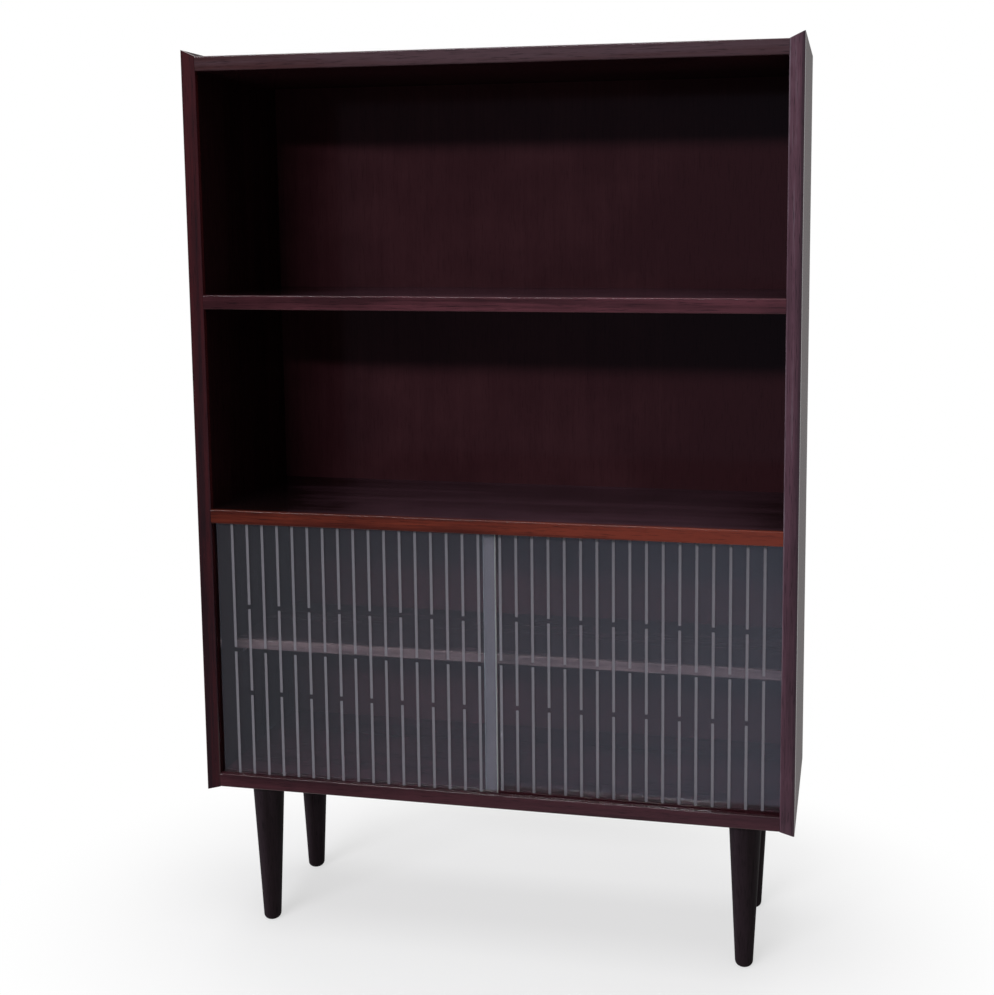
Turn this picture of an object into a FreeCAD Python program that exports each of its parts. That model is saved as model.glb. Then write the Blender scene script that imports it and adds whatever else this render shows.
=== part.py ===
import FreeCAD, Part
import math
import os
import Sketcher

# Bookcase on four turned legs: two open bays above a compartment with two sliding glass panes.
# Millimetres. X runs to the right, Y to the back and Z up. The origin is on the floor, under the
# middle of the carcase. The front is at -Y.

# Driving dimensions. Each one becomes a cell of the sheet, under its own name.
SIZES = {
    # Carcase
    "carcase_width": 850.0,
    "carcase_depth": 280.0,
    "leg_length": 225.0,
    "compartment_height": 372.0,
    "middle_bay_height": 286.0,
    "top_bay_height": 308.0,
    # Side panels: both ends and the front edge are bevelled towards the outer face
    "side_thickness": 20.0,
    "side_top_rise": 9.0,
    "side_bottom_drop": 4.5,
    "side_front_rise": 2.0,
    "side_lipping_width": 10.0,
    "side_outer_round": 2.5,
    "side_inner_arris": 0.8,
    # Fixed boards between the sides
    "board_thickness": 20.0,
    "board_lipping_width": 6.0,
    "lipping_round": 1.5,
    # Back panel in a rebate of the sides
    "rebate_width": 8.0,
    "rebate_depth": 10.0,
    "back_thickness": 4.0,
    "back_side_clearance": 0.5,
    "back_end_inset": 1.0,
    # Panel pins
    "panel_pin_radius": 0.8,
    "panel_pin_length": 20.0,
    "panel_pin_head_radius": 1.7,
    "panel_pin_head_height": 0.8,
    "board_pin_end_distance": 40.0,
    "side_pin_end_distance": 72.0,
    # Dowels between boards and sides
    "dowel_radius": 4.0,
    "dowel_in_side": 12.0,
    "dowel_in_board": 18.0,
    "dowel_end_room": 1.0,
    "dowel_chamfer": 1.0,
    "dowel_edge_distance": 40.0,
    # Inner shelf and its supports
    "inner_shelf_height": 170.0,
    "inner_shelf_thickness": 14.0,
    "inner_shelf_setback": 61.0,
    "inner_shelf_side_clearance": 1.0,
    "inner_shelf_back_clearance": 2.0,
    "support_reach": 12.0,
    "support_drop": 14.0,
    "support_width": 12.0,
    "support_sheet": 2.0,
    "support_wall_sheet": 0.9,
    "support_pin_radius": 2.5,
    "support_pin_depth": 10.0,
    "support_edge_distance": 35.0,
    # Glass panes and the grooves that guide them
    "glass_thickness": 4.0,
    "glass_chamfer": 0.4,
    "groove_clearance": 0.5,
    "front_groove_setback": 8.5,
    "groove_ridge": 4.0,
    "lower_groove_depth": 6.0,
    "upper_groove_depth": 12.0,
    "pane_overlap": 16.0,
    "left_pane_opening": 3.0,
    "pane_side_gap": 0.5,
    "pane_seat_gap": 0.2,
    "pane_top_engagement": 5.0,
    # Light stripes cut into the panes
    "stripe_pitch": 22.8,
    "stripe_width": 4.0,
    "stripe_break": 6.5,
    "stripe_end_margin": 2.0,
    "stripe_depth": 0.6,
    # Legs, with the bolt and the threaded insert that hold each one
    "leg_top_radius": 23.5,
    "leg_foot_radius": 12.8,
    "leg_foot_round": 8.0,
    "leg_side_distance": 70.0,
    "front_leg_setback": 57.5,
    "rear_leg_setback": 50.0,
    "bolt_radius": 4.0,
    "bolt_in_leg": 34.0,
    "bolt_in_base": 14.0,
    "bolt_chamfer": 0.8,
    "bolt_end_room": 2.0,
    "insert_radius": 6.0,
    "insert_length": 15.0,
}

# Copies
DOWELS_PER_JOINT = 3
PINS_PER_BOARD = 5
PINS_PER_SIDE = 7
STRIPES = 17

FULL_TURN = 360.0


class Size:
    """A length: its value, and the expression of the sheet's cells that it stays bound to."""

    def __init__(self, value, text):
        self.value = value
        self.text = text

    def __add__(self, other):
        return Size(self.value + other.value, f"({self.text} + {other.text})")

    def __sub__(self, other):
        return Size(self.value - other.value, f"({self.text} - {other.text})")

    def __mul__(self, number):
        return Size(self.value * number, f"({self.text} * {number})")

    def __truediv__(self, number):
        return Size(self.value / number, f"({self.text} / {number})")

    def __neg__(self):
        return Size(-self.value, f"(0 - {self.text})")


doc = FreeCAD.newDocument("bookcase")
sheet = doc.addObject("Spreadsheet::Sheet", "Sizes")
size = {}
for line, (word, number) in enumerate(SIZES.items(), start=1):
    sheet.set(f"A{line}", word)
    sheet.set(f"B{line}", str(number))
    sheet.setAlias(f"B{line}", word)
    size[word] = Size(number, f"Sizes.{word}")
doc.recompute()

NOTHING = Size(0.0, "0")

# Places that follow from the driving dimensions
inner_half = size["carcase_width"] / 2 - size["side_thickness"]
opening_width = inner_half * 2
front = -(size["carcase_depth"] / 2)
rear = size["carcase_depth"] / 2
board_front = front + size["side_front_rise"]
back_front = rear - size["rebate_depth"]
back_rear = back_front + size["back_thickness"]
board_depth = back_front - board_front
core_depth = board_depth - size["board_lipping_width"]

base_under = size["leg_length"]
base_top = base_under + size["board_thickness"]
lower_shelf_under = base_top + size["compartment_height"]
lower_shelf_top = lower_shelf_under + size["board_thickness"]
upper_shelf_under = lower_shelf_top + size["middle_bay_height"]
upper_shelf_top = upper_shelf_under + size["board_thickness"]
top_under = upper_shelf_top + size["top_bay_height"]
top_top = top_under + size["board_thickness"]
board_levels = {
    "base_board": base_under,
    "shelf_lower": lower_shelf_under,
    "shelf_upper": upper_shelf_under,
    "top_board": top_under,
}

side_under = base_under - size["side_bottom_drop"]
side_height = top_top + size["side_top_rise"] - side_under
inner_end_low = size["side_bottom_drop"]
inner_end_high = side_height - size["side_top_rise"]
side_core_depth = size["carcase_depth"] - size["side_lipping_width"]

kept = {}


def keep(name, thing):
    """Names a finished sub-part and puts it on the list that is written out."""
    thing.Label = name
    kept[name] = thing


def place(thing, x, y, z):
    """Binds the place of a body's own origin."""
    for axis, length in (("x", x), ("y", y), ("z", z)):
        thing.setExpression(f"Placement.Base.{axis}", length.text)


def origin_part(body, role):
    """Finds an axis or a plane of a body's own origin."""
    return next(part for part in body.Origin.OriginFeatures if part.Role == role)


def new_sketch(body, role, name, offset=NOTHING):
    """Starts a sketch on an origin plane of the body, moved along the plane's normal by the offset."""
    sketch = body.newObject("Sketcher::SketchObject", name)
    sketch.AttachmentSupport = [(origin_part(body, role), "")]
    sketch.MapMode = "FlatFace"
    if offset is not NOTHING:
        sketch.setExpression("AttachmentOffset.Base.z", offset.text)
    return sketch


def hold_point(sketch, shape, which, x, y):
    """Ties one point of a sketch to its two distances from the sketch's origin."""
    for kind, length, axis in (("DistanceX", x, -2), ("DistanceY", y, -1)):
        if length is NOTHING:
            sketch.addConstraint(Sketcher.Constraint("PointOnObject", shape, which, axis))
        else:
            held = Sketcher.Constraint(kind, -1, 1, shape, which, length.value)
            number = sketch.addConstraint(held)
            sketch.setExpression(f"Constraints[{number}]", length.text)


def hold_radius(sketch, shape, radius):
    """Ties the radius of an arc or a circle."""
    number = sketch.addConstraint(Sketcher.Constraint("Radius", shape, radius.value))
    sketch.setExpression(f"Constraints[{number}]", radius.text)


def add_outline(sketch, corners):
    """Draws a closed outline, counterclockwise. A corner is (x, y), or (x, y, centre x, centre y,
    radius) where an arc about that centre leads to the next corner."""
    first = sketch.GeometryCount
    for corner, following in zip(corners, corners[1:] + corners[:1]):
        start = FreeCAD.Vector(corner[0].value, corner[1].value, 0)
        end = FreeCAD.Vector(following[0].value, following[1].value, 0)
        if len(corner) == 2:
            sketch.addGeometry(Part.LineSegment(start, end), False)
            continue
        centre = FreeCAD.Vector(corner[2].value, corner[3].value, 0)
        circle = Part.Circle(centre, FreeCAD.Vector(0, 0, 1), corner[4].value)
        begin = math.atan2(start.y - centre.y, start.x - centre.x)
        finish = math.atan2(end.y - centre.y, end.x - centre.x)
        sketch.addGeometry(Part.ArcOfCircle(circle, begin, finish), False)
    count = len(corners)
    for number, corner in enumerate(corners):
        after = first + (number + 1) % count
        sketch.addConstraint(Sketcher.Constraint("Coincident", first + number, 2, after, 1))
        hold_point(sketch, first + number, 1, corner[0], corner[1])
        if len(corner) > 2:
            hold_radius(sketch, first + number, corner[4])


def add_rectangle(sketch, low_x, low_y, high_x, high_y):
    """Draws a rectangle between two opposite corners."""
    add_outline(sketch, [(low_x, low_y), (high_x, low_y), (high_x, high_y), (low_x, high_y)])


def add_circle(sketch, x, y, radius):
    """Draws a circle."""
    centre = FreeCAD.Vector(x.value, y.value, 0)
    shape = sketch.addGeometry(Part.Circle(centre, FreeCAD.Vector(0, 0, 1), radius.value), False)
    hold_point(sketch, shape, 3, x, y)
    hold_radius(sketch, shape, radius)


def pad(body, sketch, length, name, backwards=False):
    """Pads a sketch; backwards is against its plane's normal."""
    feature = body.newObject("PartDesign::Pad", name)
    feature.Profile = sketch
    feature.Reversed = backwards
    feature.setExpression("Length", length.text)
    doc.recompute()
    return feature


def pocket(body, sketch, depth, name, forwards=False):
    """Cuts a sketch into the body, against its plane's normal or, forwards, along it."""
    before = body.Shape.Volume
    feature = body.newObject("PartDesign::Pocket", name)
    feature.Profile = sketch
    feature.Reversed = forwards
    feature.setExpression("Length", depth.text)
    doc.recompute()
    if not feature.Shape.Volume < before:
        raise RuntimeError(f"{body.Label}: {name} cuts nothing")
    return feature


def revolve(body, sketch, axis, name):
    """Turns a sketch a full turn about one of its own two axes."""
    feature = body.newObject("PartDesign::Revolution", name)
    feature.Profile = sketch
    feature.ReferenceAxis = (sketch, [axis])
    feature.Angle = FULL_TURN
    doc.recompute()
    return feature


def repeat(body, feature, role, span, count, name):
    """Repeats a feature along an axis of the body's origin, evenly over the span."""
    before = body.Shape.Volume
    pattern = body.newObject("PartDesign::LinearPattern", name)
    pattern.Originals = [feature]
    pattern.Direction = (origin_part(body, role), [""])
    pattern.setExpression("Length", span.text)
    pattern.Occurrences = count
    body.Tip = pattern
    doc.recompute()
    if abs(pattern.Shape.Volume - before) == 0:
        raise RuntimeError(f"{body.Label}: {name} repeats nothing")
    return pattern


def mirror(source, name):
    """Makes the other hand of a piece, across the middle of the carcase."""
    twin = doc.addObject("Part::Mirroring", name)
    twin.Source = source
    twin.Normal = FreeCAD.Vector(1, 0, 0)
    return twin


def group(pieces, name):
    """Gathers like pieces, which stay separate solids, in one sub-part."""
    gathered = doc.addObject("Part::Compound", name)
    gathered.Links = pieces
    return gathered


def steps(low, high, count):
    """Gives evenly spaced places from low to high."""
    return [low + (high - low) * (number / (count - 1)) for number in range(count)]


# Fixed boards: the core runs from behind its lipping to the back panel
dowel_places = steps(
    size["dowel_edge_distance"] - size["board_lipping_width"],
    core_depth - size["dowel_edge_distance"],
    DOWELS_PER_JOINT,
)
dowel_hole_in_board = size["dowel_in_board"] + size["dowel_end_room"]
dowel_hole_in_side = size["dowel_in_side"] + size["dowel_end_room"]
pin_in_wood = size["panel_pin_length"] - size["back_thickness"]
board_pin_places = steps(
    size["board_pin_end_distance"],
    opening_width - size["board_pin_end_distance"],
    PINS_PER_BOARD,
)


def make_board(name):
    """A board's core: a slab, drilled at both ends for dowels and at the back for panel pins."""
    body = doc.addObject("PartDesign::Body", name)
    slab = new_sketch(body, "XY_Plane", f"{name}_slab_sketch")
    add_rectangle(slab, NOTHING, NOTHING, opening_width, core_depth)
    pad(body, slab, size["board_thickness"], f"{name}_slab")
    middle = size["board_thickness"] / 2
    for end, offset, forwards in (("left", NOTHING, True), ("right", opening_width, False)):
        holes = new_sketch(body, "YZ_Plane", f"{name}_{end}_dowel_sketch", offset)
        for along in dowel_places:
            add_circle(holes, along, middle, size["dowel_radius"])
        pocket(body, holes, dowel_hole_in_board, f"{name}_{end}_dowel_holes", forwards)
    holes = new_sketch(body, "XZ_Plane", f"{name}_pin_sketch", -core_depth)
    for along in board_pin_places:
        add_circle(holes, along, middle, size["panel_pin_radius"])
    pocket(body, holes, pin_in_wood, f"{name}_pin_holes", True)
    return body


groove_width = size["glass_thickness"] + size["groove_clearance"] * 2
groove_pitch = groove_width + size["groove_ridge"]
front_groove = size["front_groove_setback"] - size["board_lipping_width"]


def cut_grooves(body, offset, depth, forwards):
    """Cuts the two grooves for the glass along the whole of a board."""
    grooves = new_sketch(body, "XY_Plane", f"{body.Name}_groove_sketch", offset)
    for start in (front_groove, front_groove + groove_pitch):
        add_rectangle(grooves, NOTHING, start, opening_width, start + groove_width)
    pocket(body, grooves, depth, f"{body.Name}_grooves", forwards)


leg_spread = size["carcase_width"] / 2 - size["leg_side_distance"]
leg_rows = {
    "front": front + size["front_leg_setback"],
    "rear": rear - size["rear_leg_setback"],
}
leg_columns = {"left": -leg_spread, "right": leg_spread}

for name, level in board_levels.items():
    board = make_board(name)
    if name == "base_board":
        cut_grooves(board, size["board_thickness"], size["lower_groove_depth"], False)
        inserts = new_sketch(board, "XY_Plane", "base_board_insert_sketch")
        for row_place in leg_rows.values():
            for column_place in leg_columns.values():
                across = column_place + inner_half
                along = row_place - board_front - size["board_lipping_width"]
                add_circle(inserts, across, along, size["insert_radius"])
        pocket(board, inserts, size["insert_length"], "base_board_insert_holes", True)
    if name == "shelf_lower":
        cut_grooves(board, NOTHING, size["upper_groove_depth"], True)
    place(board, -inner_half, board_front + size["board_lipping_width"], level)
    keep(name, board)


def make_lipping(name, length, thickness):
    """A solid strip for the front edge of a board, with both front corners rounded."""
    body = doc.addObject("PartDesign::Body", name)
    section = new_sketch(body, "YZ_Plane", f"{name}_section_sketch")
    width = size["board_lipping_width"]
    corner = size["lipping_round"]
    add_outline(section, [
        (corner, NOTHING),
        (width, NOTHING),
        (width, thickness),
        (corner, thickness, corner, thickness - corner, corner),
        (NOTHING, thickness - corner),
        (NOTHING, corner, corner, corner, corner),
    ])
    pad(body, section, length, f"{name}_strip")
    return body


for name, level in board_levels.items():
    lipping = make_lipping(f"{name}_lipping", opening_width, size["board_thickness"])
    place(lipping, -inner_half, board_front, level)
    keep(f"{name}_lipping", lipping)

# Side panels: the left one is drawn with its inner face at x = 0 and its outer corner at z = 0
inner_shelf_under = base_top + size["inner_shelf_height"]
inner_shelf_front = board_front + size["inner_shelf_setback"]
inner_shelf_rear = back_front - size["inner_shelf_back_clearance"]
support_level = inner_shelf_under - size["support_sheet"] / 2 - size["support_drop"] / 2
support_rows = {
    "front": inner_shelf_front + size["support_edge_distance"],
    "rear": inner_shelf_rear - size["support_edge_distance"],
}
side_pin_places = steps(
    size["side_pin_end_distance"],
    side_height - size["side_pin_end_distance"],
    PINS_PER_SIDE,
)
side_core_front = front + size["side_lipping_width"]

side = doc.addObject("PartDesign::Body", "side_left")
profile = new_sketch(side, "XZ_Plane", "side_profile_sketch")
add_outline(profile, [
    (-size["side_thickness"], NOTHING),
    (NOTHING, inner_end_low),
    (NOTHING, inner_end_high),
    (-size["side_thickness"], side_height),
])
pad(side, profile, side_core_depth, "side_panel", True)
rebate = new_sketch(side, "XZ_Plane", "side_rebate_sketch", -side_core_depth)
add_rectangle(rebate, -size["rebate_width"], NOTHING, NOTHING, side_height)
pocket(side, rebate, size["rebate_depth"], "side_rebate", True)
joints = new_sketch(side, "YZ_Plane", "side_dowel_sketch")
for level in board_levels.values():
    for along in dowel_places:
        dowel_y = board_front + size["board_lipping_width"] + along - side_core_front
        dowel_z = level + size["board_thickness"] / 2 - side_under
        add_circle(joints, dowel_y, dowel_z, size["dowel_radius"])
pocket(side, joints, dowel_hole_in_side, "side_dowel_holes")
supports = new_sketch(side, "YZ_Plane", "side_support_sketch")
for row_place in support_rows.values():
    add_circle(
        supports,
        row_place - side_core_front,
        support_level - side_under,
        size["support_pin_radius"],
    )
pocket(side, supports, size["support_pin_depth"], "side_support_holes")
pin_holes = new_sketch(side, "XZ_Plane", "side_pin_sketch", -(back_front - side_core_front))
for level in side_pin_places:
    add_circle(pin_holes, -(size["rebate_width"] / 2), level, size["panel_pin_radius"])
pocket(side, pin_holes, pin_in_wood, "side_pin_holes", True)
place(side, -inner_half, side_core_front, side_under)
keep("side_left", side)
keep("side_right", mirror(side, "side_right"))

# Side lippings: the front edge leans forward to the outer corner, which is rounded
edge = doc.addObject("PartDesign::Body", "side_left_lipping")
plan = new_sketch(edge, "XY_Plane", "side_lipping_plan_sketch")
thickness = size["side_thickness"]
corner = size["side_outer_round"]
arris = size["side_inner_arris"]
front_rise = size["side_front_rise"]
add_outline(plan, [
    (NOTHING, front_rise + arris),
    (NOTHING, size["side_lipping_width"]),
    (-thickness, size["side_lipping_width"]),
    (-thickness, corner, corner - thickness, corner, corner),
    (corner - thickness, NOTHING),
    (-arris, front_rise),
])
pad(edge, plan, side_height, "side_lipping_strip")
bevels = new_sketch(edge, "XZ_Plane", "side_lipping_bevel_sketch")
add_outline(bevels, [(NOTHING, NOTHING), (NOTHING, inner_end_low), (-thickness, NOTHING)])
add_outline(bevels, [(NOTHING, inner_end_high), (NOTHING, side_height), (-thickness, side_height)])
pocket(edge, bevels, size["side_lipping_width"], "side_lipping_bevels")
place(edge, -inner_half, front, side_under)
keep("side_left_lipping", edge)
keep("side_right_lipping", mirror(edge, "side_right_lipping"))

# Dowels: both ends of a board share one axis, so one outline pair is turned and repeated
for name, level in board_levels.items():
    dowels = doc.addObject("PartDesign::Body", f"{name}_dowels")
    dowels.AllowCompound = True
    outline = new_sketch(dowels, "XY_Plane", f"{name}_dowel_sketch")
    radius = size["dowel_radius"]
    chamfer = size["dowel_chamfer"]
    length = size["dowel_in_side"] + size["dowel_in_board"]
    for start in (-size["dowel_in_side"], opening_width - size["dowel_in_board"]):
        end = start + length
        add_outline(outline, [
            (start, NOTHING),
            (end, NOTHING),
            (end, radius - chamfer),
            (end - chamfer, radius),
            (start + chamfer, radius),
            (start, radius - chamfer),
        ])
    pair = revolve(dowels, outline, "H_Axis", f"{name}_dowel_pair")
    span = dowel_places[-1] - dowel_places[0]
    repeat(dowels, pair, "Y_Axis", span, DOWELS_PER_JOINT, f"{name}_dowel_row")
    first_y = board_front + size["board_lipping_width"] + dowel_places[0]
    place(dowels, -inner_half, first_y, level + size["board_thickness"] / 2)
    keep(f"{name}_dowels", dowels)

# Back panel, drilled for its pins
back_half = inner_half + size["rebate_width"] - size["back_side_clearance"]
back_under = base_under + size["back_end_inset"]
back_height = top_top - size["back_end_inset"] - back_under
back = doc.addObject("PartDesign::Body", "back_panel")
sheet_outline = new_sketch(back, "XZ_Plane", "back_panel_sketch")
add_rectangle(sheet_outline, NOTHING, NOTHING, back_half * 2, back_height)
pad(back, sheet_outline, size["back_thickness"], "back_panel_sheet", True)
pin_holes = new_sketch(back, "XZ_Plane", "back_panel_pin_sketch")
for level in board_levels.values():
    for along in board_pin_places:
        across = along + back_half - inner_half
        height = level + size["board_thickness"] / 2 - back_under
        add_circle(pin_holes, across, height, size["panel_pin_radius"])
side_pin_column = inner_half + size["rebate_width"] / 2
for column in (back_half - side_pin_column, back_half + side_pin_column):
    for level in side_pin_places:
        add_circle(pin_holes, column, level + side_under - back_under, size["panel_pin_radius"])
pocket(back, pin_holes, size["back_thickness"], "back_panel_pin_holes")
place(back, -back_half, back_front, back_under)
keep("back_panel", back)


def make_pin_row(name, role, span, count):
    """A row of panel pins, heads to the back, repeated along one axis."""
    body = doc.addObject("PartDesign::Body", name)
    body.AllowCompound = True
    outline = new_sketch(body, "XY_Plane", f"{name}_sketch")
    shank = size["panel_pin_radius"]
    head = size["panel_pin_head_radius"]
    height = size["panel_pin_head_height"]
    length = size["panel_pin_length"]
    add_outline(outline, [
        (NOTHING, -length),
        (shank, shank * 2 - length),
        (shank, NOTHING),
        (head, NOTHING),
        (head, height),
        (NOTHING, height),
    ])
    nail = revolve(body, outline, "V_Axis", f"{name}_nail")
    repeat(body, nail, role, span, count, f"{name}_row")
    return body


pin_rows = []
for name, level in board_levels.items():
    span = board_pin_places[-1] - board_pin_places[0]
    pin_row = make_pin_row(f"{name}_pins", "X_Axis", span, PINS_PER_BOARD)
    first_x = board_pin_places[0] - inner_half
    place(pin_row, first_x, back_rear, level + size["board_thickness"] / 2)
    pin_rows.append(pin_row)
for name, column in (("left_side", -side_pin_column), ("right_side", side_pin_column)):
    span = side_pin_places[-1] - side_pin_places[0]
    pin_row = make_pin_row(f"{name}_pins", "Z_Axis", span, PINS_PER_SIDE)
    place(pin_row, column, back_rear, side_under + side_pin_places[0])
    pin_rows.append(pin_row)
keep("back_panel_pins", group(pin_rows, "back_panel_pins"))

# Inner shelf with its lipping, on four steel supports that plug into the sides
inner_width = opening_width - size["inner_shelf_side_clearance"] * 2
inner_shelf = doc.addObject("PartDesign::Body", "inner_shelf")
slab = new_sketch(inner_shelf, "XY_Plane", "inner_shelf_sketch")
inner_core_front = inner_shelf_front + size["board_lipping_width"]
add_rectangle(slab, NOTHING, NOTHING, inner_width, inner_shelf_rear - inner_core_front)
pad(inner_shelf, slab, size["inner_shelf_thickness"], "inner_shelf_slab")
place(inner_shelf, -(inner_width / 2), inner_core_front, inner_shelf_under)
keep("inner_shelf", inner_shelf)
inner_lipping = make_lipping("inner_shelf_lipping", inner_width, size["inner_shelf_thickness"])
place(inner_lipping, -(inner_width / 2), inner_shelf_front, inner_shelf_under)
keep("inner_shelf_lipping", inner_lipping)

supports = []
for row_name, row_place in support_rows.items():
    support = doc.addObject("PartDesign::Body", f"support_{row_name}_left")
    bracket = new_sketch(support, "XZ_Plane", f"support_{row_name}_bracket_sketch")
    wall = size["support_wall_sheet"]
    drop = size["support_drop"]
    reach = size["support_reach"]
    tongue = size["support_sheet"]
    add_outline(bracket, [
        (NOTHING, -drop),
        (wall, -drop),
        (wall, -tongue),
        (reach, -tongue),
        (reach, NOTHING),
        (NOTHING, NOTHING),
    ])
    pad(support, bracket, size["support_width"], f"support_{row_name}_bracket", True)
    plug = new_sketch(support, "YZ_Plane", f"support_{row_name}_plug_sketch")
    plug_level = support_level - inner_shelf_under
    add_circle(plug, size["support_width"] / 2, plug_level, size["support_pin_radius"])
    pad(support, plug, size["support_pin_depth"], f"support_{row_name}_plug", True)
    place(support, -inner_half, row_place - size["support_width"] / 2, inner_shelf_under)
    supports.append(support)
    supports.append(mirror(support, f"support_{row_name}_right"))
keep("shelf_supports", group(supports, "shelf_supports"))

# Glass panes: the stripes are cut into the front face, odd ones in two lengths, even ones in three
pane_width = (opening_width - size["pane_side_gap"] * 2 + size["pane_overlap"]) / 2
pane_under = base_top - size["lower_groove_depth"] + size["pane_seat_gap"]
pane_height = lower_shelf_under + size["pane_top_engagement"] - pane_under
first_stripe = (pane_width - size["stripe_pitch"] * (STRIPES - 1)) / 2


def make_pane(name):
    """A pane with chamfered edges and shallow stripes."""
    body = doc.addObject("PartDesign::Body", name)
    outline = new_sketch(body, "XZ_Plane", f"{name}_sketch")
    add_rectangle(outline, NOTHING, NOTHING, pane_width, pane_height)
    blank = pad(body, outline, size["glass_thickness"], f"{name}_blank", True)
    ground = body.newObject("PartDesign::Chamfer", f"{name}_ground_edges")
    ground.Base = (blank, [f"Edge{number + 1}" for number in range(len(blank.Shape.Edges))])
    ground.setExpression("Size", size["glass_chamfer"].text)
    doc.recompute()
    half_stripe = size["stripe_width"] / 2
    half_break = size["stripe_break"] / 2
    for kind, lengths, copies in (("odd", 2, (STRIPES + 1) // 2), ("even", 3, STRIPES // 2)):
        stripe = new_sketch(body, "XZ_Plane", f"{name}_{kind}_stripe_sketch")
        centre = first_stripe
        if kind == "even":
            centre = first_stripe + size["stripe_pitch"]
        for piece in range(lengths):
            low = pane_height * (piece / lengths) + half_break
            high = pane_height * ((piece + 1) / lengths) - half_break
            if piece == 0:
                low = size["stripe_end_margin"]
            if piece == lengths - 1:
                high = pane_height - size["stripe_end_margin"]
            add_rectangle(stripe, centre - half_stripe, low, centre + half_stripe, high)
        cut = pocket(body, stripe, size["stripe_depth"], f"{name}_{kind}_stripe")
        span = size["stripe_pitch"] * (2 * (copies - 1))
        repeat(body, cut, "X_Axis", span, copies, f"{name}_{kind}_stripes")
    return body


left_pane_front = board_front + size["front_groove_setback"] + size["groove_clearance"]
pane_limit = inner_half - size["pane_side_gap"]
left_pane = make_pane("glass_left")
# The left pane stands slightly open at rest, as in the photograph
place(left_pane, size["left_pane_opening"] - pane_limit, left_pane_front, pane_under)
keep("glass_left", left_pane)
right_pane = make_pane("glass_right")
place(right_pane, pane_limit - pane_width, left_pane_front + groove_pitch, pane_under)
keep("glass_right", right_pane)

# Legs: turned on one axis, each with a bolt in its top and an insert above it in the base board
inserts = []
bolts = []
for row_name, row_place in leg_rows.items():
    for column_name, column_place in leg_columns.items():
        name = f"leg_{row_name}_{column_name}"
        leg = doc.addObject("PartDesign::Body", name)
        outline = new_sketch(leg, "XZ_Plane", f"{name}_sketch")
        foot = size["leg_foot_radius"]
        turn = size["leg_foot_round"]
        bore_floor = size["leg_length"] - size["bolt_in_leg"] - size["bolt_end_room"]
        add_outline(outline, [
            (NOTHING, NOTHING),
            (foot - turn, NOTHING, foot - turn, turn, turn),
            (foot, turn),
            (size["leg_top_radius"], size["leg_length"]),
            (size["bolt_radius"], size["leg_length"]),
            (size["bolt_radius"], bore_floor),
            (NOTHING, bore_floor),
        ])
        revolve(leg, outline, "V_Axis", f"{name}_turning")
        place(leg, column_place, row_place, NOTHING)
        keep(name, leg)

        insert = doc.addObject("PartDesign::Body", f"insert_{row_name}_{column_name}")
        outline = new_sketch(insert, "XZ_Plane", f"{insert.Name}_sketch")
        add_rectangle(
            outline,
            size["bolt_radius"],
            NOTHING,
            size["insert_radius"],
            size["insert_length"],
        )
        revolve(insert, outline, "V_Axis", f"{insert.Name}_turning")
        place(insert, column_place, row_place, base_under)
        inserts.append(insert)

        bolt = doc.addObject("PartDesign::Body", f"bolt_{row_name}_{column_name}")
        outline = new_sketch(bolt, "XZ_Plane", f"{bolt.Name}_sketch")
        shank = size["bolt_radius"]
        chamfer = size["bolt_chamfer"]
        length = size["bolt_in_leg"] + size["bolt_in_base"]
        add_outline(outline, [
            (NOTHING, NOTHING),
            (shank - chamfer, NOTHING),
            (shank, chamfer),
            (shank, length - chamfer),
            (shank - chamfer, length),
            (NOTHING, length),
        ])
        revolve(bolt, outline, "V_Axis", f"{bolt.Name}_turning")
        place(bolt, column_place, row_place, base_under - size["bolt_in_leg"])
        bolts.append(bolt)
keep("leg_inserts", group(inserts, "leg_inserts"))
keep("leg_bolts", group(bolts, "leg_bolts"))

# Check every object, then write each sub-part
doc.recompute()
for thing in doc.Objects:
    if "Invalid" in thing.State or "Error" in thing.State:
        raise RuntimeError(f"{thing.Label} is {thing.State}")
for name, thing in kept.items():
    if thing.Shape.isNull() or not thing.Shape.isValid():
        raise RuntimeError(f"{name} has no valid shape")

os.makedirs("parts", exist_ok=True)
for name, thing in kept.items():
    thing.Shape.exportStep(f"parts/{name}.step")
    print(name, len(thing.Shape.Solids), round(thing.Shape.Volume))
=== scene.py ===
import math
import bpy
import numpy as np
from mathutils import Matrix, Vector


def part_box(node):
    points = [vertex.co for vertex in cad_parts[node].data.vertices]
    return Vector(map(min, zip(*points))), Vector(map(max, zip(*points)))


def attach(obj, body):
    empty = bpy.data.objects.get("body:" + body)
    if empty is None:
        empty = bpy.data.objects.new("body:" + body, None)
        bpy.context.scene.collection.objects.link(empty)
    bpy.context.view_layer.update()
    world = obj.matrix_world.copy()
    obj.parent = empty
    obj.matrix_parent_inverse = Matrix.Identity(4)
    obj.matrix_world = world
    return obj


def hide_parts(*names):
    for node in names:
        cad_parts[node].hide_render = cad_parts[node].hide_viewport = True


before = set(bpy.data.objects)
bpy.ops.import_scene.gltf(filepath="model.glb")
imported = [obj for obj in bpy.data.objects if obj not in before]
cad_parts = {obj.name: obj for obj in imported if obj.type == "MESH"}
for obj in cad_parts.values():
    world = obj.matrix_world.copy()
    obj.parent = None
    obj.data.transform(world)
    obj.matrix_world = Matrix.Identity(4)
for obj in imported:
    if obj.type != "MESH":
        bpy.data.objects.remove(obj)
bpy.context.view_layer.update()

# Side panels: blockboard cores faced with beech veneer, stained to a dark mahogany and sprayed with
# glossy lacquer. The grain stands upright. A solid lipping is glued to each front edge. The left
# core is darkened with painted shade. A painted reflection makes the right lipping paler, and it is
# palest along its inner arris.
MM = 0.001


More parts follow.
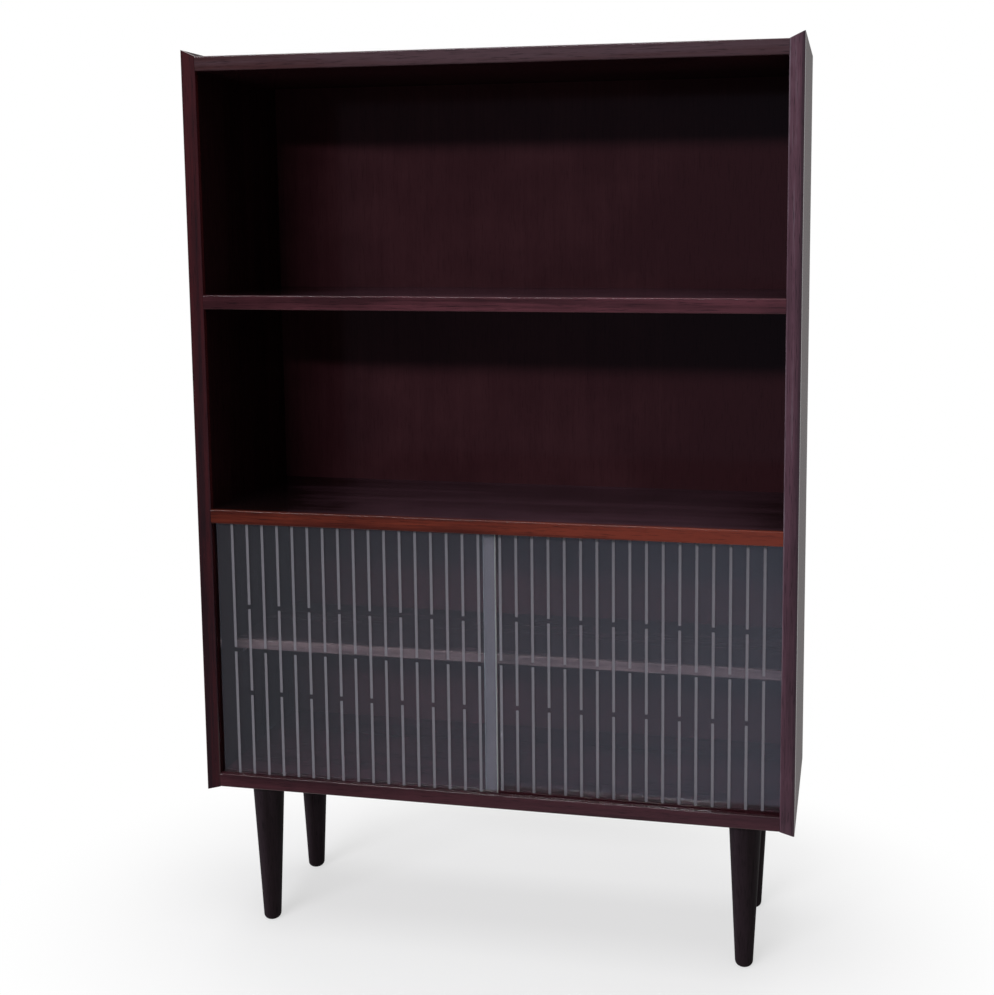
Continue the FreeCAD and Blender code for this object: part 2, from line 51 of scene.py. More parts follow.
def linear(code):
    """Turns an sRGB hex value into linear light, with alpha 1."""
    parts = [int(code[at:at + 2], 16) / 255 for at in (1, 3, 5)]
    return [p / 12.92 if p <= 0.04045 else ((p + 0.055) / 1.055) ** 2.4 for p in parts] + [1.0]


def add_node(tree, kind, links=None, **settings):
    """Adds a node, sets its own settings, and gives each named input a value or a link."""
    node = tree.nodes.new(kind)
    for name, value in settings.items():
        setattr(node, name, value)
    for name, value in (links or {}).items():
        if isinstance(value, bpy.types.NodeSocket):
            tree.links.new(value, node.inputs[name])
        else:
            node.inputs[name].default_value = value
    return node


def new_material(name):
    """Starts a material, and returns it with its tree and the output node, the only one in it."""
    material = bpy.data.materials.new(name)
    material.use_nodes = True
    tree = material.node_tree
    tree.nodes.clear()
    output = add_node(tree, "ShaderNodeOutputMaterial")
    return material, tree, output


def set_ramp(node, stops):
    """Gives a colour ramp its stops, each a place from 0 to 1 and a linear colour."""
    ramp = node.color_ramp
    while len(ramp.elements) < len(stops):
        ramp.elements.new(1.0)
    for element, (place, colour) in zip(ramp.elements, stops):
        element.position = place
        element.color = colour


LACQUER_IOR = 1.5
LACQUER_ROUGHNESS = 0.12
PORE_WIDTH = 1.2 * MM      # real pores are 0.1 mm wide; drawn coarser, so that they show
PORE_LENGTH = 26 * MM
PORE_DEPTH = 0.05 * MM
PORE_START, PORE_FULL = 0.56, 0.68     # values of the pores' noise
STREAK_WIDTH = 4 * MM
STREAK_LENGTH = 160 * MM
FIGURE_WIDTH = 34 * MM     # the arches of crown-cut veneer
FIGURE_LENGTH = 700 * MM
BLOTCH_SIZE = 90 * MM      # where the stain took unevenly
PEEL_SIZE = 3 * MM         # ripple of the sprayed lacquer
PEEL_HEIGHT = 0.01 * MM
DARK_TONE, LIGHT_TONE, PALEST_TONE = 0.36, 0.64, 0.9     # the ramp's places for the three colours


def stained_wood(name, grain, dark, light, gloss=0.6, shift=(0, 0, 0), shares=(0.5, 0.16, 0.34),
                 leans=(), palest=None, pore_tone=0.45):
    """Stained wood under clear lacquer: pores, streaks and figure drawn out along the grain axis.
    Its tone is one half where all is even. Streaks, figure and blotches move it, each by its share,
    and so do the leans: each runs along an axis, from one place to another, and adds from its first
    tone to its second. Above the light colour's tone it turns to the palest colour."""
    material, tree, output = new_material(name)
    where = add_node(tree, "ShaderNodeTexCoord").outputs["Object"]

    def stretched(width, length):
        scale = [1 / width] * 3
        scale["XYZ".index(grain)] = 1 / length
        mapping = add_node(tree, "ShaderNodeMapping", {
            "Vector": where, "Location": shift, "Scale": scale})
        return mapping.outputs[0]

    pores = add_node(tree, "ShaderNodeTexNoise", {
        "Vector": stretched(PORE_WIDTH, PORE_LENGTH), "Scale": 1.0, "Detail": 2.0,
        "Roughness": 0.6})
    streaks = add_node(tree, "ShaderNodeTexNoise", {
        "Vector": stretched(STREAK_WIDTH, STREAK_LENGTH), "Scale": 1.0, "Detail": 4.0,
        "Roughness": 0.55})
    figure = add_node(tree, "ShaderNodeTexWave", {
        "Vector": stretched(FIGURE_WIDTH, FIGURE_LENGTH), "Scale": 0.5, "Distortion": 6.0,
        "Detail": 2.0, "Detail Scale": 1.5}, wave_type="RINGS", rings_direction="SPHERICAL")
    blotch = add_node(tree, "ShaderNodeTexNoise", {
        "Vector": where, "Scale": 1 / BLOTCH_SIZE, "Detail": 3.0, "Roughness": 0.5})
    place = add_node(tree, "ShaderNodeSeparateXYZ", {0: where})
    tone = (1 - sum(shares)) / 2
    for part, share in zip((streaks, figure, blotch), shares):
        tone = add_node(tree, "ShaderNodeMath", {
            0: part.outputs["Fac"], 1: share, 2: tone}, operation="MULTIPLY_ADD").outputs[0]
    for axis, start, end, first, second in leans:
        lean = add_node(tree, "ShaderNodeMapRange", {
            "Value": place.outputs["XYZ".index(axis)], "From Min": start, "From Max": end,
            "To Min": first, "To Max": second}, interpolation_type="SMOOTHSTEP")
        tone = add_node(tree, "ShaderNodeMath", {
            0: tone, 1: lean.outputs[0]}, operation="ADD").outputs[0]
    stain = add_node(tree, "ShaderNodeValToRGB", {"Fac": tone})
    set_ramp(stain, [
        (DARK_TONE, linear(dark)), (LIGHT_TONE, linear(light)), (PALEST_TONE, linear(palest or light))])
    pore_mask = add_node(tree, "ShaderNodeMapRange", {
        "Value": pores.outputs["Fac"], "From Min": PORE_START, "From Max": PORE_FULL,
        "To Min": 1.0, "To Max": pore_tone})
    colour = add_node(tree, "ShaderNodeMix", {
        0: 1.0, 6: stain.outputs["Color"], 7: pore_mask.outputs[0]},
        data_type="RGBA", blend_type="MULTIPLY")
    grain_bump = add_node(tree, "ShaderNodeBump", {
        "Height": pore_mask.outputs[0], "Distance": PORE_DEPTH, "Strength": 0.6})
    peel = add_node(tree, "ShaderNodeTexNoise", {
        "Vector": where, "Scale": 1 / PEEL_SIZE, "Detail": 1.0})
    peel_bump = add_node(tree, "ShaderNodeBump", {
        "Height": peel.outputs["Fac"], "Distance": PEEL_HEIGHT, "Strength": 0.5})
    shader = add_node(tree, "ShaderNodeBsdfPrincipled", {
        "Base Color": colour.outputs[2], "Roughness": 0.55, "IOR": LACQUER_IOR,
        "Specular IOR Level": 0.0, "Coat Weight": gloss, "Coat Roughness": LACQUER_ROUGHNESS,
        "Coat IOR": LACQUER_IOR, "Normal": grain_bump.outputs[0],
        "Coat Normal": peel_bump.outputs[0]})
    tree.links.new(shader.outputs[0], output.inputs["Surface"])
    return material


def finish_nodes(material, *names):
    """Gives CAD nodes their finish."""
    for name in names:
        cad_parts[name].data.materials.clear()
        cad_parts[name].data.materials.append(material)


# Both cores: almost even, with fine upright grain under a dull shine. The left one is darkened to
# near black with painted shade on its inner face.
upright_veneer = stained_wood(
    "mahogany_stained_veneer_upright", "Z", "#200c10", "#34181c", gloss=0.2)
finish_nodes(upright_veneer, "side_right")
painted_shade_veneer = stained_wood(
    "mahogany_veneer_painted_shade", "Z", "#160809", "#251113", gloss=0.1, shift=(0, 0.3, 0))
finish_nodes(painted_shade_veneer, "side_left")

# The left lipping: deep red brown, a little lighter towards its top, with a wet shine.
LEFT_LIPPING_FADE = (0.2, 1.27)     # heights
left_lipping = stained_wood(
    "mahogany_stained_lipping_left", "Z", "#1c090b", "#391214", shift=(0.3, 0, 0),
    leans=[("Z", *LEFT_LIPPING_FADE, -0.13, 0.13)])
finish_nodes(left_lipping, "side_left_lipping")

# The right lipping: greyer and paler, a painted reflection of the bright surround on the right. It
# is palest along its inner arris and dark on the outer round. Its upper half is a little lighter.
PALE_INNER_ARRIS = (0.4055, 0.4080)       # places across the lipping
OUTER_ROUND = (0.4205, 0.4235)
RIGHT_LIPPING_FADE = (0.4, 1.0)     # heights
right_lipping = stained_wood(
    "mahogany_stained_lipping_right", "Z", "#3b2930", "#563b46", shift=(0.7, 0, 0),
    leans=[("X", *PALE_INNER_ARRIS, 0.25, 0.0), ("X", *OUTER_ROUND, 0.0, -0.5),
           ("Z", *RIGHT_LIPPING_FADE, -0.06, 0.06)],
    palest="#73666f")
finish_nodes(right_lipping, "side_right_lipping")

# Fixed boards: the same blockboard and veneer, with the grain from side to side. Each front edge
# has a solid lipping, planed flush and rounded. The lower shelf's lipping took the stain redder.
BOARD_LENGTH = (-0.4, 0.4)          # nearly from side to side

# Shelves: polished, so that they mirror the back. Their pale, bluish light colour adds a painted
# sheen, and painted shade and painted reflection darken them towards both ends.
SHADED_LEFT_END = (-0.43, -0.14)
SHADED_RIGHT_END = (0.25, 0.42)
level_veneer = stained_wood(
    "mahogany_stained_veneer_level", "X", "#100809", "#4a333d", gloss=0.9,
    shares=(0.2, 0.08, 0.2), pore_tone=0.7,
    leans=[("X", *SHADED_LEFT_END, -0.2, 0.02), ("X", *SHADED_RIGHT_END, 0.0, -0.1)])
finish_nodes(level_veneer, "shelf_lower", "shelf_upper")

# Base and top boards: dull, the top one darkened to near black with painted shade on its underside.
dull_veneer = stained_wood("mahogany_stained_veneer_dull", "X", "#200c10", "#34181d", gloss=0.15)
finish_nodes(dull_veneer, "base_board")
shaded_top_veneer = stained_wood(
    "mahogany_stained_veneer_top", "X", "#16080a", "#241013", gloss=0.12, shift=(0, 0.7, 0))
finish_nodes(shaded_top_veneer, "top_board")

# Front lippings: streaky solid wood with a wet shine, brown below and greyer at the top.
base_lipping = stained_wood(
    "mahogany_stained_lipping_base", "X", "#2c161a", "#402227", shift=(0, 0.1, 0))
finish_nodes(base_lipping, "base_board_lipping")
shelf_lipping = stained_wood(
    "mahogany_stained_lipping_shelf", "X", "#2f1519", "#532b32", shift=(0, 0.4, 0),
    leans=[("X", *BOARD_LENGTH, -0.06, 0.06)])
finish_nodes(shelf_lipping, "shelf_upper_lipping")
TOP_LEFT_HALF = (-0.38, 0.0)
TOP_RIGHT_HALF = (0.05, 0.38)
top_lipping = stained_wood(
    "mahogany_stained_lipping_top", "X", "#3a2223", "#473439", shift=(0, 0.6, 0),
    leans=[("X", *TOP_LEFT_HALF, -0.1, 0.12), ("X", *TOP_RIGHT_HALF, 0.0, -0.08)])
finish_nodes(top_lipping, "top_board_lipping")

# The lower shelf's lipping: brick red, and brighter towards its right end.
RED_RIGHT_HALF = (0.05, 0.35)
red_lipping = stained_wood(
    "red_mahogany_stained_lipping", "X", "#43180f", "#6e2e1e", shift=(0, 0.8, 0),
    leans=[("X", *BOARD_LENGTH, -0.12, 0.08), ("X", *RED_RIGHT_HALF, 0.0, 0.14)])
finish_nodes(red_lipping, "shelf_lower_lipping")

# Dowels: turned beech pegs, left plain, three to a joint, glued into the boards and the sides.
# They are hidden in the finished bookcase.
FLECK_WIDTH = 0.8 * MM
FLECK_LENGTH = 8 * MM


def plain_beech(name):
    """Bare beech: pale, matt, with short darker flecks along the dowel."""
    material, tree, output = new_material(name)
    where = add_node(tree, "ShaderNodeTexCoord").outputs["Object"]
    flecks = add_node(tree, "ShaderNodeTexNoise", {
        "Vector": add_node(tree, "ShaderNodeMapping", {
            "Vector": where, "Scale": (1 / FLECK_LENGTH, 1 / FLECK_WIDTH, 1 / FLECK_WIDTH)
        }).outputs[0],
        "Scale": 1.0, "Detail": 2.0})
    colour = add_node(tree, "ShaderNodeValToRGB", {"Fac": flecks.outputs["Fac"]})
    set_ramp(colour, [(0.4, linear("#b98f63")), (0.65, linear("#d9b588"))])
    shader = add_node(tree, "ShaderNodeBsdfPrincipled", {
        "Base Color": colour.outputs["Color"], "Roughness": 0.7, "IOR": 1.5})
    tree.links.new(shader.outputs[0], output.inputs["Surface"])
    return material


finish_nodes(
    plain_beech("plain_beech"),
    "base_board_dowels", "shelf_lower_dowels", "shelf_upper_dowels", "top_board_dowels")

# Back panel: thin stained plywood, lacquered on its front, and held in the rebate by steel panel
# pins. Its grain stands upright. It looks smooth and cloudy, with faint pores, and painted shade
# darkens it a little to the right.
SHADED_BACK_RIGHT_HALF = (0.0, 0.4)
back_veneer = stained_wood(
    "mahogany_stained_plywood", "Z", "#31181c", "#3a1f23", gloss=0.2, shift=(0, 0, 0.5),
    shares=(0.25, 0.05, 0.7), leans=[("X", *SHADED_BACK_RIGHT_HALF, 0.0, -0.25)], pore_tone=0.75)
finish_nodes(back_veneer, "back_panel")
METAL_MARK_SIZE = 2 * MM
UNEVEN_GLOSS = 0.3         # share by which a metal's roughness goes up and down


def bare_metal(name, colour, roughness):
    """Bare metal: a little uneven in its gloss, as plated or machined stock is."""
    material, tree, output = new_material(name)
    where = add_node(tree, "ShaderNodeTexCoord").outputs["Object"]
    marks = add_node(tree, "ShaderNodeTexNoise", {
        "Vector": where, "Scale": 1 / METAL_MARK_SIZE, "Detail": 3.0})
    gloss = add_node(tree, "ShaderNodeMapRange", {
        "Value": marks.outputs["Fac"], "To Min": roughness * (1 - UNEVEN_GLOSS),
        "To Max": roughness * (1 + UNEVEN_GLOSS)})
    tint = add_node(tree, "ShaderNodeValToRGB", {"Fac": marks.outputs["Fac"]})
    set_ramp(tint, [(0.3, linear(colour[0])), (0.7, linear(colour[1]))])
    shader = add_node(tree, "ShaderNodeBsdfPrincipled", {
        "Base Color": tint.outputs["Color"], "Metallic": 1.0, "Roughness": gloss.outputs[0]})
    tree.links.new(shader.outputs[0], output.inputs["Surface"])
    return material


# Zinc plate: bright blue-white grey with a soft, blurred shine.
zinc_steel = bare_metal("zinc_plated_steel", ("#a9abac", "#c3c5c6"), 0.35)
finish_nodes(zinc_steel, "back_panel_pins")

# Inner shelf: a thinner loose board with its own lipping, paler than the rest. It lies on four bent
# steel supports that plug into the sides.
inner_veneer = stained_wood(
    "pale_veneer_inner_shelf", "X", "#221517", "#382628", gloss=0.3, shift=(0, 0.2, 0))
finish_nodes(inner_veneer, "inner_shelf")
inner_lipping = stained_wood(
    "pale_lipping_inner_shelf", "X", "#533f3f", "#6a5452", gloss=0.3, shift=(0, 0.6, 0),
    leans=[("X", *BOARD_LENGTH, 0.04, -0.04)])
finish_nodes(inner_lipping, "inner_shelf_lipping")
finish_nodes(zinc_steel, "shelf_supports")

# Glass panes: 4 mm float glass with ground edges, one in each groove. Seventeen narrow stripes are
# ground into the front of each pane, odd ones in two lengths and even ones in three.
GLASS_IOR = 1.52
GLASS_CLEARNESS = 0.993    # the rest is a thin pale veil, a painted reflection haze on the pane
WAVE_LENGTH = 60 * MM
WAVE_HEIGHT = 0.02 * MM
GRIT_SIZE = 1.5 * MM
ARRIS = 0.6 * MM


def float_glass(name):
    """Clear glass, polished, faintly blue, with the faint waviness of an old drawn sheet."""
    material, tree, output = new_material(name)
    where = add_node(tree, "ShaderNodeTexCoord").outputs["Object"]
    waves = add_node(tree, "ShaderNodeTexNoise", {
        "Vector": where, "Scale": 1 / WAVE_LENGTH, "Detail": 1.0})
    wavy = add_node(tree, "ShaderNodeBump", {
        "Height": waves.outputs["Fac"], "Distance": WAVE_HEIGHT, "Strength": 1.0})
    shader = add_node(tree, "ShaderNodeBsdfPrincipled", {
        "Base Color": linear("#e2eef6"), "Roughness": 0.0, "IOR": GLASS_IOR,
        "Transmission Weight": GLASS_CLEARNESS, "Normal": wavy.outputs[0]})
    tree.links.new(shader.outputs[0], output.inputs["Surface"])
    return material


def ground_glass(name, dark, light, through):
    """Ground glass: matt and whitish, it scatters light and lets a little through."""
    material, tree, output = new_material(name)
    where = add_node(tree, "ShaderNodeTexCoord").outputs["Object"]
    grit = add_node(tree, "ShaderNodeTexNoise", {
        "Vector": where, "Scale": 1 / GRIT_SIZE, "Detail": 3.0})
    tone = add_node(tree, "ShaderNodeValToRGB", {"Fac": grit.outputs["Fac"]})
    set_ramp(tone, [(0.3, linear(dark)), (0.7, linear(light))])
    gloss = add_node(tree, "ShaderNodeMapRange", {
        "Value": grit.outputs["Fac"], "To Min": 0.5, "To Max": 0.8})
    shader = add_node(tree, "ShaderNodeBsdfPrincipled", {
        "Base Color": tone.outputs["Color"], "Roughness": gloss.outputs[0], "IOR": GLASS_IOR,
        "Transmission Weight": through})
    tree.links.new(shader.outputs[0], output.inputs["Surface"])
    return material


STRIPES = 17
STRIPE_PITCH = 22.8 * MM
STRIPE_WIDTH = 4.0 * MM
STRIPE_BREAK = 6.5 * MM        # between two lengths
STRIPE_MARGIN = 2.0 * MM       # at the top and bottom of the pane
STRIPE_BACK = 0.55 * MM        # depth to a bar's back
STRIPE_HOLLOW = 0.25 * MM      # of its front, at the middle
STRIPE_CLEARANCE = 0.05 * MM   # between a bar and the glass around it
STRIPE_STEPS = 9


def closed_bars(name, section, starts, ends, across, front):
    """Bars that stand upright: one section, a closed loop of x and y, carried from each bar's start
    height to its end height, with both ends closed. The section is repeated at each bar's x."""
    bars, corners = len(starts), len(section)
    points = np.zeros((bars, 2, corners, 3))
    points[..., 0] = across[:, None, None] + section[:, 0]
    points[..., 1] = front + section[:, 1]
    points[:, 0, :, 2] = starts[:, None]
    points[:, 1, :, 2] = ends[:, None]
    number = np.arange(points[..., 0].size).reshape(bars, 2, corners)
    following = np.roll(number, -1, axis=2)
    walls = np.stack([number[:, 0], following[:, 0], following[:, 1], number[:, 1]], axis=-1)
    faces = walls.reshape(-1, 4).tolist() + number[:, 0, ::-1].tolist() + number[:, 1].tolist()
    mesh = bpy.data.meshes.new(name)
    mesh.from_pydata(points.reshape(-1, 3).tolist(), [], faces)
    mesh.update()
    bars_object = bpy.data.objects.new(name, mesh)
    bpy.context.scene.collection.objects.link(bars_object)
    return bars_object


# The panes' clear glass lets the lamps light the shelf behind it, so it casts no shadow. Its ground
# meeting ends are pale and dull, and its stripes a darker, colder grey.
clear = float_glass("float_glass")
ground_edge = ground_glass("ground_glass_edge", "#b4bcb9", "#ccd4d0", 0.0)
stripe_finish = ground_glass("ground_glass_stripe", "#6c6a70", "#827f86", 0.2)
for side in ("left", "right"):
    pane = f"glass_{side}"
    low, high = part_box(pane)
    finish_nodes(clear, pane)
    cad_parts[pane].visible_shadow = False
    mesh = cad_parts[pane].data
    mesh.materials.append(ground_edge)
    centre, facing = np.empty((2, 3 * len(mesh.polygons)))
    mesh.polygons.foreach_get("center", centre)
    mesh.polygons.foreach_get("normal", facing)
    meeting_end = high.x if side == "left" else low.x
    on_edge = (np.abs(centre[::3] - meeting_end) < ARRIS) & (np.abs(facing[::3]) > 0.5)
    mesh.polygons.foreach_set("material_index", on_edge.astype(np.int32))
    width, height = high.x - low.x, high.z - low.z
    across, starts, ends = [], [], []
    for number in range(STRIPES):
        lengths = 2 + number % 2
        for piece in range(lengths):
            across.append(low.x + width / 2 + (number - (STRIPES - 1) / 2) * STRIPE_PITCH)
            start, end = height * piece / lengths, height * (piece + 1) / lengths
            first, last = piece == 0, piece == lengths - 1
            starts.append(low.z + (STRIPE_MARGIN if first else start + STRIPE_BREAK / 2))
            ends.append(high.z - STRIPE_MARGIN if last else low.z + end - STRIPE_BREAK / 2)
    half = STRIPE_WIDTH / 2 - STRIPE_CLEARANCE
    sweep = np.linspace(-1, 1, STRIPE_STEPS)
    face = np.stack([sweep * half, STRIPE_CLEARANCE + STRIPE_HOLLOW * (1 - sweep ** 2)], axis=1)
    section = np.concatenate([face, [[half, STRIPE_BACK], [-half, STRIPE_BACK]]])
    stripes = closed_bars(
        f"{pane}_stripes", section, np.array(starts) + STRIPE_CLEARANCE,
        np.array(ends) - STRIPE_CLEARANCE, np.array(across), low.y)
    stripes.data.materials.append(stripe_finish)
    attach(stripes, f"{side}_door")

# Dust strip: a thin film on the front of the right pane, along the edge where the panes overlap. It
# is as wide as the overlap and slides with the pane. It is matt and warm grey, and hides most of
# what lies behind.
FILM_THICKNESS = 0.2 * MM
FILM_MARGIN = 0.5 * MM
left_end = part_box("glass_left")[1].x
right_low, right_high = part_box("glass_right")
half = (left_end - right_low.x) / 2 - FILM_MARGIN
section = np.array([
    [-half, -FILM_THICKNESS - STRIPE_CLEARANCE], [half, -FILM_THICKNESS - STRIPE_CLEARANCE],
    [half, -STRIPE_CLEARANCE], [-half, -STRIPE_CLEARANCE]])
film = closed_bars(
    "glass_right_dust_strip", section, np.array([right_low.z + STRIPE_MARGIN]),
    np.array([right_high.z - STRIPE_MARGIN]), np.array([(left_end + right_low.x) / 2]),
    right_low.y)
film.data.materials.append(ground_glass("matt_grey_film", "#473c3f", "#514649", 0.1))
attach(film, "right_door")

# Legs: turned and tapered beech, stained nearly black and lacquered. Each has a hanger bolt in its
# top, which screws into a brass insert under the base board.
LEG_TOP_RADIUS = 23.5 * MM
LEG_FOOT_RADIUS = 12.8 * MM
LEG_FOOT_ROUND = 8 * MM
LEG_STEPS = 96
ROUND_STEPS = 12
SHARP_EDGE = math.radians(40)


def turned_leg(name, centre_x, centre_y, low, high):
    """A surface of revolution: a profile of radius and height, from the middle of the foot up to
    the middle of the top, carried round the leg's axis and closed at both ends."""
    turn = np.linspace(0, math.pi / 2, ROUND_STEPS)
    foot_flat = LEG_FOOT_RADIUS - LEG_FOOT_ROUND
    radius = np.concatenate([foot_flat + LEG_FOOT_ROUND * np.sin(turn), [LEG_TOP_RADIUS]])
    level = np.concatenate([low + LEG_FOOT_ROUND * (1 - np.cos(turn)), [high]])
    angle = np.linspace(0, 2 * math.pi, LEG_STEPS, endpoint=False)
    rings = np.stack([
        centre_x + radius[:, None] * np.cos(angle),
        centre_y + radius[:, None] * np.sin(angle),
        np.repeat(level[:, None], LEG_STEPS, axis=1),
    ], axis=-1)
    number = np.arange(rings[..., 0].size).reshape(rings.shape[:2])
    following = np.roll(number, -1, axis=1)
    walls = np.stack([number[:-1], following[:-1], following[1:], number[1:]], axis=-1)
    faces = walls.reshape(-1, 4).tolist() + [number[0, ::-1].tolist(), number[-1].tolist()]
    mesh = bpy.data.meshes.new(name)
    mesh.from_pydata(rings.reshape(-1, 3).tolist(), [], faces)
    mesh.polygons.foreach_set("use_smooth", np.ones(len(faces), bool))
    mesh.set_sharp_from_angle(angle=SHARP_EDGE)
    mesh.update()
    leg = bpy.data.objects.new(name, mesh)
    bpy.context.scene.collection.objects.link(leg)
    return leg


# The beech: black brown and even, with a dull shine. A painted sheen makes each leg's left flank
# greyer.
for place in ("front_left", "front_right", "rear_left", "rear_right"):
    node = f"leg_{place}"
    low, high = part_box(node)
    middle = (low.x + high.x) / 2
    leg = turned_leg(f"turned_{node}", middle, (low.y + high.y) / 2, low.z, high.z)
    painted_sheen_flank = (middle - LEG_TOP_RADIUS, middle + LEG_TOP_RADIUS / 3)
    leg.data.materials.append(stained_wood(
        f"black_brown_stained_beech_{place}", "Z", "#110a0b", "#2c2228", gloss=0.08,
        shift=(0, 0, 0.9), shares=(0.15, 0.05, 0.1), leans=[("X", *painted_sheen_flank, 0.2, -0.05)]))
    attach(leg, "case")
    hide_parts(node)

# Machined brass: yellow, with a tighter shine than the zinc.
finish_nodes(bare_metal("machined_brass", ("#b08a45", "#c9a25a"), 0.3), "leg_inserts")
finish_nodes(zinc_steel, "leg_bolts")

# Studio: a pale floor that runs out into white, a long narrow lamp high in front on the left, a
# soft box overhead, and a surround that is white to the eye and plain grey to what it lights.
WHITE = (1.0, 1.0, 1.0, 1.0)
FLOOR_RADIUS = 2.6
FLOOR_FRONT = -0.6
FLOOR_RINGS = 24
FLOOR_STEPS = 96
reach = np.linspace(0, 1, FLOOR_RINGS + 1)[1:] * FLOOR_RADIUS
angle = np.linspace(0, 2 * math.pi, FLOOR_STEPS, endpoint=False)
floor_middle = FLOOR_FRONT + FLOOR_RADIUS
rings = np.stack([
    reach[:, None] * np.cos(angle),
    floor_middle + reach[:, None] * np.sin(angle),
    np.zeros((FLOOR_RINGS, FLOOR_STEPS)),
], axis=-1)
number = np.arange(rings[..., 0].size).reshape(rings.shape[:2])
following = np.roll(number, -1, axis=1)
annuli = np.stack([number[:-1], number[1:], following[1:], following[:-1]], axis=-1)
floor_faces = annuli.reshape(-1, 4).tolist() + [number[0].tolist()]
floor_mesh = bpy.data.meshes.new("studio_floor")
floor_mesh.from_pydata(rings.reshape(-1, 3).tolist(), [], floor_faces)
floor = bpy.data.objects.new("studio_floor", floor_mesh)
bpy.context.scene.collection.objects.link(floor)

# The floor's paint: matt and pale near the bookcase, so that it keeps the shadow, and fading into
# plain white further out, in an oval that is wider from side to side.
FADE_SHAPE = (0.75, 1.0, 0.0)
FADE_START, FADE_END = 0.25, 0.62
NEAR_WHITE_SHARE = 0.6
material, tree, output = new_material("pale_floor")
where = add_node(tree, "ShaderNodeTexCoord").outputs["Object"]
flat = add_node(tree, "ShaderNodeVectorMath", {0: where, 1: FADE_SHAPE}, operation="MULTIPLY")
far = add_node(tree, "ShaderNodeVectorMath", {0: flat.outputs[0]}, operation="LENGTH")
fade = add_node(tree, "ShaderNodeMapRange", {
    "Value": far.outputs["Value"], "From Min": FADE_START, "From Max": FADE_END,
    "To Min": NEAR_WHITE_SHARE}, interpolation_type="SMOOTHSTEP")
path = add_node(tree, "ShaderNodeLightPath")
seen = add_node(tree, "ShaderNodeMath", {
    0: path.outputs["Is Camera Ray"], 1: path.outputs["Is Glossy Ray"]}, operation="MAXIMUM")
seen = add_node(tree, "ShaderNodeMath", {
    0: seen.outputs[0], 1: path.outputs["Is Transmission Ray"]}, operation="MAXIMUM")
white_share = add_node(tree, "ShaderNodeMath", {
    0: seen.outputs[0], 1: fade.outputs[0]}, operation="MULTIPLY")
paint = add_node(tree, "ShaderNodeBsdfDiffuse", {"Color": linear("#f2f2f2")})
glow = add_node(tree, "ShaderNodeEmission", {"Color": WHITE, "Strength": 1.0})
mixed = add_node(tree, "ShaderNodeMixShader", {
    0: white_share.outputs[0], 1: paint.outputs[0], 2: glow.outputs[0]})
tree.links.new(mixed.outputs[0], output.inputs["Surface"])
floor_mesh.materials.append(material)

# The surround: white where it is seen directly. Where lacquer or glass mirrors it, it is white
# behind and dim in front, dimmest on the left. What it lights gets an even grey from all sides.
DIM_LEFT = (0.145, 0.117, 0.145, 1.0)
DIM_RIGHT = (0.33, 0.33, 0.44, 1.0)
LEFT_END, RIGHT_START = -0.45, -0.05       # sideways parts of a direction
FRONT_END, BACK_START = -0.3, 0.2          # its parts towards the back
FILL_LIGHT = (0.2, 0.2, 0.2, 1.0)
FIRST_BOUNCE = 0.5                         # a ray's depth is a whole number
world = bpy.data.worlds.new("pale_surround")
bpy.context.scene.world = world
world.use_nodes = True
tree = world.node_tree
tree.nodes.clear()
direction = add_node(tree, "ShaderNodeSeparateXYZ", {
    "Vector": add_node(tree, "ShaderNodeTexCoord").outputs["Generated"]})
rightward = add_node(tree, "ShaderNodeMapRange", {
    "Value": direction.outputs[0], "From Min": LEFT_END, "From Max": RIGHT_START})
in_front = add_node(tree, "ShaderNodeMix", {
    0: rightward.outputs[0], 6: DIM_LEFT, 7: DIM_RIGHT}, data_type="RGBA")
behind = add_node(tree, "ShaderNodeMapRange", {
    "Value": direction.outputs[1], "From Min": FRONT_END, "From Max": BACK_START})
mirrored = add_node(tree, "ShaderNodeMix", {
    0: behind.outputs[0], 6: in_front.outputs[2], 7: WHITE}, data_type="RGBA")
path = add_node(tree, "ShaderNodeLightPath")
bounces = add_node(tree, "ShaderNodeMath", {
    0: path.outputs["Diffuse Depth"], 1: path.outputs["Glossy Depth"]}, operation="ADD")
straight = add_node(tree, "ShaderNodeMath", {
    0: bounces.outputs[0], 1: FIRST_BOUNCE}, operation="LESS_THAN")
polished = add_node(tree, "ShaderNodeMath", {
    0: path.outputs["Diffuse Depth"], 1: FIRST_BOUNCE}, operation="LESS_THAN")
lit = add_node(tree, "ShaderNodeMix", {
    0: polished.outputs[0], 6: FILL_LIGHT, 7: mirrored.outputs[2]}, data_type="RGBA")
seen = add_node(tree, "ShaderNodeMix", {
    0: straight.outputs[0], 6: lit.outputs[2], 7: WHITE}, data_type="RGBA")
background = add_node(tree, "ShaderNodeBackground", {"Color": seen.outputs[2], "Strength": 1.0})
add_node(tree, "ShaderNodeOutputWorld", {"Surface": background.outputs[0]})

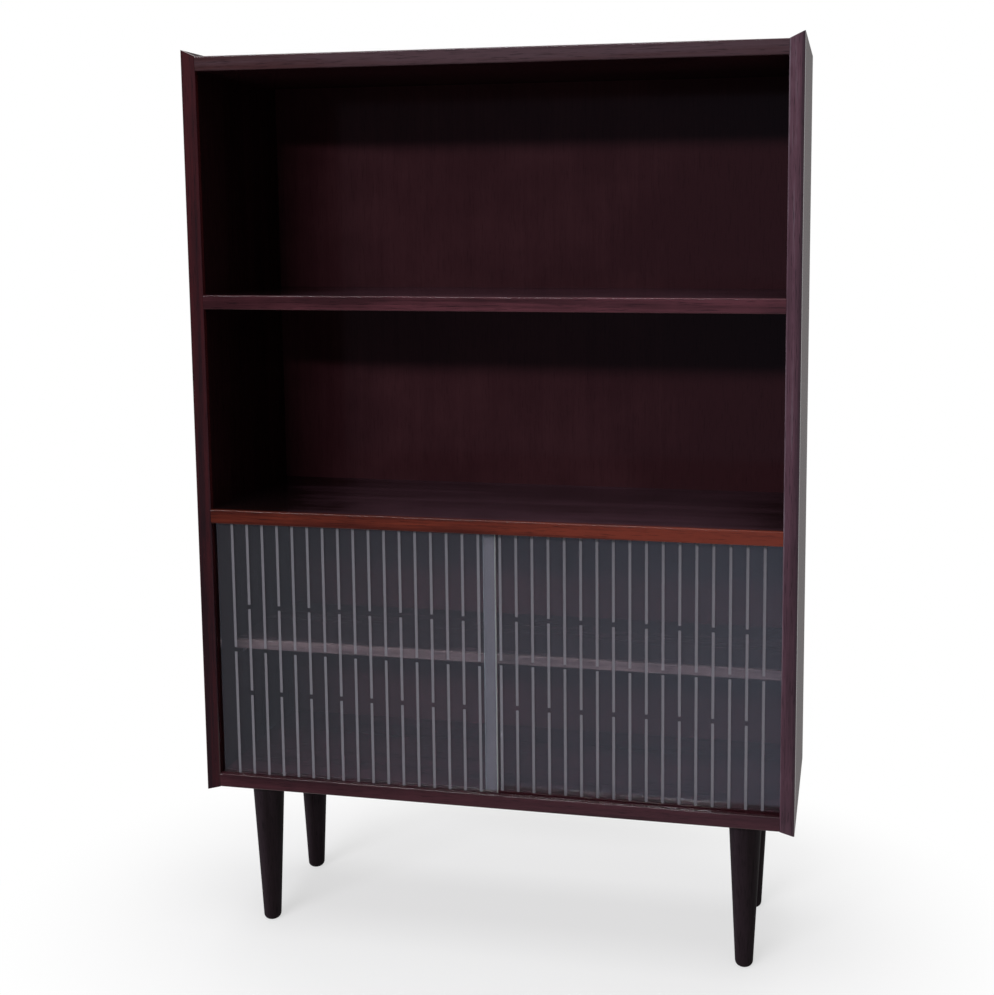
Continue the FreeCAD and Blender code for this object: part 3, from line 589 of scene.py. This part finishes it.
STRIP_PLACE, STRIP_AIM = (-2.2, -6.1, 3.36), (0, 0, 0.8)
STRIP_WIDTH, STRIP_HEIGHT = 4.0, 0.25
BOX_PLACE, BOX_AIM = (0, -0.2, 3.4), (0, 0, 0)
BOX_SIZE = 3.0
STRIP_POWER, BOX_POWER = 275, 70


def area_lamp(name, place, aim, width, height, power, colour):
    """A rectangular soft lamp at a place, turned towards its aim. Glass doesn't show it behind."""
    data = bpy.data.lights.new(name, "AREA")
    data.shape = "RECTANGLE"
    data.size, data.size_y = width, height
    data.energy = power
    data.color = linear(colour)[:3]
    lamp = bpy.data.objects.new(name, data)
    lamp.location = place
    lamp.rotation_euler = (Vector(aim) - Vector(place)).to_track_quat("-Z", "Y").to_euler()
    lamp.visible_transmission = False
    bpy.context.scene.collection.objects.link(lamp)


area_lamp(
    "front_strip", STRIP_PLACE, STRIP_AIM, STRIP_WIDTH, STRIP_HEIGHT, STRIP_POWER, "#fbfaff")
area_lamp("overhead_box", BOX_PLACE, BOX_AIM, BOX_SIZE, BOX_SIZE, BOX_POWER, "#ffffff")

# Camera: the photograph's viewing angle. Its middle lies off the picture's middle, as in a cropped
# photograph, which the shift gives.
PICTURE = (994, 995)
FOCAL_PIXELS = 1369.59
MIDDLE_PIXEL = (580.18, 384.50)
SENSOR_WIDTH = 36.0
CAMERA_PLACE = (0.49292, -1.91715, 1.03947)
CAMERA_TURN = (83.3209, 0.2605, 11.3704)   # degrees
camera_data = bpy.data.cameras.new("camera")
camera_data.sensor_width = SENSOR_WIDTH
camera_data.lens = SENSOR_WIDTH * FOCAL_PIXELS / max(PICTURE)
camera_data.shift_x = (PICTURE[0] / 2 - MIDDLE_PIXEL[0]) / max(PICTURE)
camera_data.shift_y = (MIDDLE_PIXEL[1] - PICTURE[1] / 2) / max(PICTURE)
camera = bpy.data.objects.new("camera", camera_data)
camera.location = CAMERA_PLACE
camera.rotation_euler = [math.radians(turn) for turn in CAMERA_TURN]
bpy.context.scene.collection.objects.link(camera)
bpy.context.scene.camera = camera
bpy.context.scene.view_settings.view_transform = "Standard"
